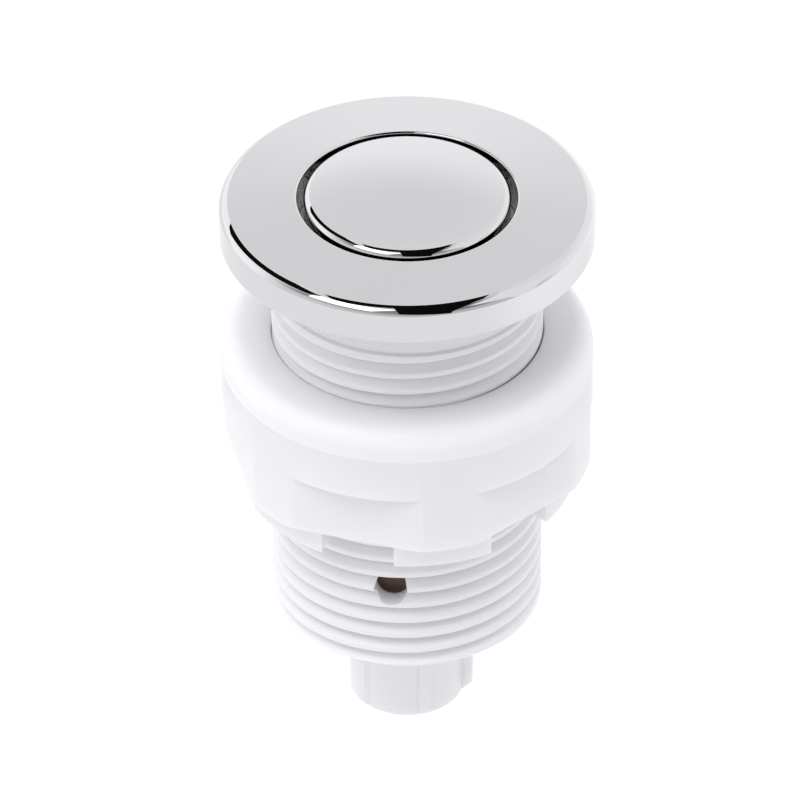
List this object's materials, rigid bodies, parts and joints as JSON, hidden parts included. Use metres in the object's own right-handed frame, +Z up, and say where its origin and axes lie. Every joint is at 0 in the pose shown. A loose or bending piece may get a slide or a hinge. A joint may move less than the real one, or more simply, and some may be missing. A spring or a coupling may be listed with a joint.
{
  "type": "sink top air switch",
  "caption": "Sink top push button with a chromed bezel, a threaded barrel with a vent hole, a castellated lock nut, and a bellows inside that sends a puff of air out of the nozzle below.",
  "frame": {"origin": "centre of the deck seat: on the button's axis, level with the bezel's lower rim where it rests on the sink top", "axes": "+Z up along the button's axis, -Y towards the side with the vent hole (7 degrees to its left), +X to the right of that side"},
  "size_m": [0.0454, 0.0454, 0.0751],
  "materials": {
    "chrome_plate": "polished chrome plate",
    "white_plastic": "white moulded plastic, satin gloss",
    "natural_plastic": "natural white moulded plastic",
    "brown_rubber": "matt brown rubber",
    "seal_rubber": "matt black rubber",
    "spring_steel": "drawn spring wire"
  },
  "bodies": {
    "barrel": {"threaded_barrel": "white_plastic", "trim_flange": "chrome_plate", "deck_gasket": "seal_rubber", "air_nozzle": "white_plastic", "bellows": "brown_rubber", "return_spring": "spring_steel"},
    "button": {"button_cap": "chrome_plate", "plunger": "natural_plastic", "pusher_pad": "natural_plastic"},
    "nut": {"lock_nut": "white_plastic"}
  },
  "joints": [
    {"name": "button_press", "type": "slide", "parent": "barrel", "child": "button", "axis": [0, 0, -1], "range_m": [0, 0.0045], "stiffness_N_per_m": 600, "springref_m": -0.005, "deforming": ["return_spring", "bellows"]},
    {"name": "nut_travel", "type": "slide", "parent": "barrel", "child": "nut", "axis": [0, 0, 1], "range_m": [-0.0185, 0.013]}
  ]
}
